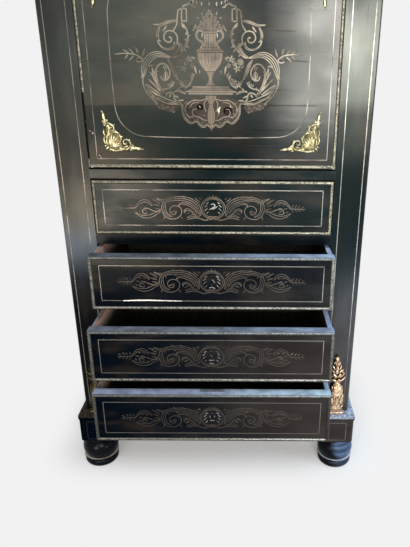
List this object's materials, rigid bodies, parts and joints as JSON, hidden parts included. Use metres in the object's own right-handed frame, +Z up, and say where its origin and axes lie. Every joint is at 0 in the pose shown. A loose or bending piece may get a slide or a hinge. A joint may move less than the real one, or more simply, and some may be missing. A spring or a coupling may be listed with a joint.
{
  "type": "drop-front secretary desk",
  "caption": "Ebonised drop-front writing desk with brass inlay: a hinged leaf on quadrant stays over a stack of sliding drawers, on a plinth with turned feet.",
  "frame": {"origin": "on the floor, at the centre of the desk's footprint box at rest, with its drawers pulled out as drawn", "axes": "+Z up, the front faces -Y, +X to the right of a person who faces the desk"},
  "size_m": [0.698, 0.517, 1.3114],
  "materials": {
    "ebonised_wood": "ebonised black with a worn French polish",
    "secondary_wood": "bare darkened oak, waxed by use",
    "inner_veneer": "polished red-brown veneer",
    "bead_brass": "dulled half-round brass",
    "gilt_bronze": "chased gilt bronze",
    "lock_brass": "handled brass",
    "leather": "dark green, gilt border"
  },
  "bodies": {
    "carcass": {"stile_right": "ebonised_wood", "stile_left": "ebonised_wood", "pivot_plates": "lock_brass", "side_right": "ebonised_wood", "side_left": "ebonised_wood", "back_boards": "secondary_wood", "bottom_board": "secondary_wood", "leaf_keeper": "lock_brass", "upper_rails": "ebonised_wood", "rail_below_leaf": "ebonised_wood", "bottom_rail": "ebonised_wood", "drawer_rails": "ebonised_wood", "drawer_runners": "secondary_wood", "dust_boards": "secondary_wood", "cornice": "ebonised_wood", "top_board": "ebonised_wood", "plinth_blocks": "ebonised_wood", "plinth_boards": "ebonised_wood", "plinth_cap": "ebonised_wood", "feet": "ebonised_wood", "desk_bed": "inner_veneer", "bed_bearers": "secondary_wood", "cheeks": "inner_veneer", "inner_shelves": "inner_veneer", "inner_dividers": "inner_veneer", "stay_guides": "lock_brass", "stile_mounts": "gilt_bronze"},
    "leaf": {"leaf_panel": "ebonised_wood", "leaf_bead": "bead_brass", "leaf_lock": "lock_brass", "writing_leather": "leather", "pivot_pins": "lock_brass", "quadrant_stays": "lock_brass", "leaf_corner_mounts": "gilt_bronze"},
    "drawer_1": {"drawer_1_front": "ebonised_wood", "drawer_1_box": "secondary_wood", "drawer_1_bead": "bead_brass", "drawer_1_lock": "lock_brass"},
    "drawer_2": {"drawer_2_front": "ebonised_wood", "drawer_2_box": "secondary_wood", "drawer_2_bead": "bead_brass", "drawer_2_lock": "lock_brass"},
    "drawer_3": {"drawer_3_front": "ebonised_wood", "drawer_3_box": "secondary_wood", "drawer_3_bead": "bead_brass", "drawer_3_lock": "lock_brass"},
    "drawer_4": {"drawer_4_front": "ebonised_wood", "drawer_4_box": "secondary_wood", "drawer_4_bead": "bead_brass", "drawer_4_lock": "lock_brass"},
    "frieze_drawer": {"frieze_drawer_front": "ebonised_wood", "frieze_drawer_box": "secondary_wood", "frieze_drawer_bead": "bead_brass", "frieze_drawer_lock": "lock_brass"},
    "inner_drawer_left": {"inner_drawer_left_front": "inner_veneer", "inner_drawer_left_box": "secondary_wood"},
    "inner_drawer_right": {"inner_drawer_right_front": "inner_veneer", "inner_drawer_right_box": "secondary_wood"}
  },
  "joints": [
    {"name": "leaf_hinge", "type": "hinge", "parent": "carcass", "child": "leaf", "pos_m": [0, -0.0905, 0.7594], "axis": [1, 0, 0], "range_deg": [0, 90]},
    {"name": "drawer_1_slide", "type": "slide", "parent": "carcass", "child": "drawer_1", "axis": [0, -1, 0], "range_m": [0, 0.24]},
    {"name": "drawer_2_slide", "type": "slide", "parent": "carcass", "child": "drawer_2", "axis": [0, -1, 0], "range_m": [-0.082, 0.158]},
    {"name": "drawer_3_slide", "type": "slide", "parent": "carcass", "child": "drawer_3", "axis": [0, -1, 0], "range_m": [-0.139, 0.101]},
    {"name": "drawer_4_slide", "type": "slide", "parent": "carcass", "child": "drawer_4", "axis": [0, -1, 0], "range_m": [-0.154, 0.086]},
    {"name": "frieze_drawer_slide", "type": "slide", "parent": "carcass", "child": "frieze_drawer", "axis": [0, -1, 0], "range_m": [0, 0.24]},
    {"name": "inner_drawer_left_slide", "type": "slide", "parent": "carcass", "child": "inner_drawer_left", "axis": [0, -1, 0], "range_m": [0, 0.11]},
    {"name": "inner_drawer_right_slide", "type": "slide", "parent": "carcass", "child": "inner_drawer_right", "axis": [0, -1, 0], "range_m": [0, 0.11]}
  ]
}
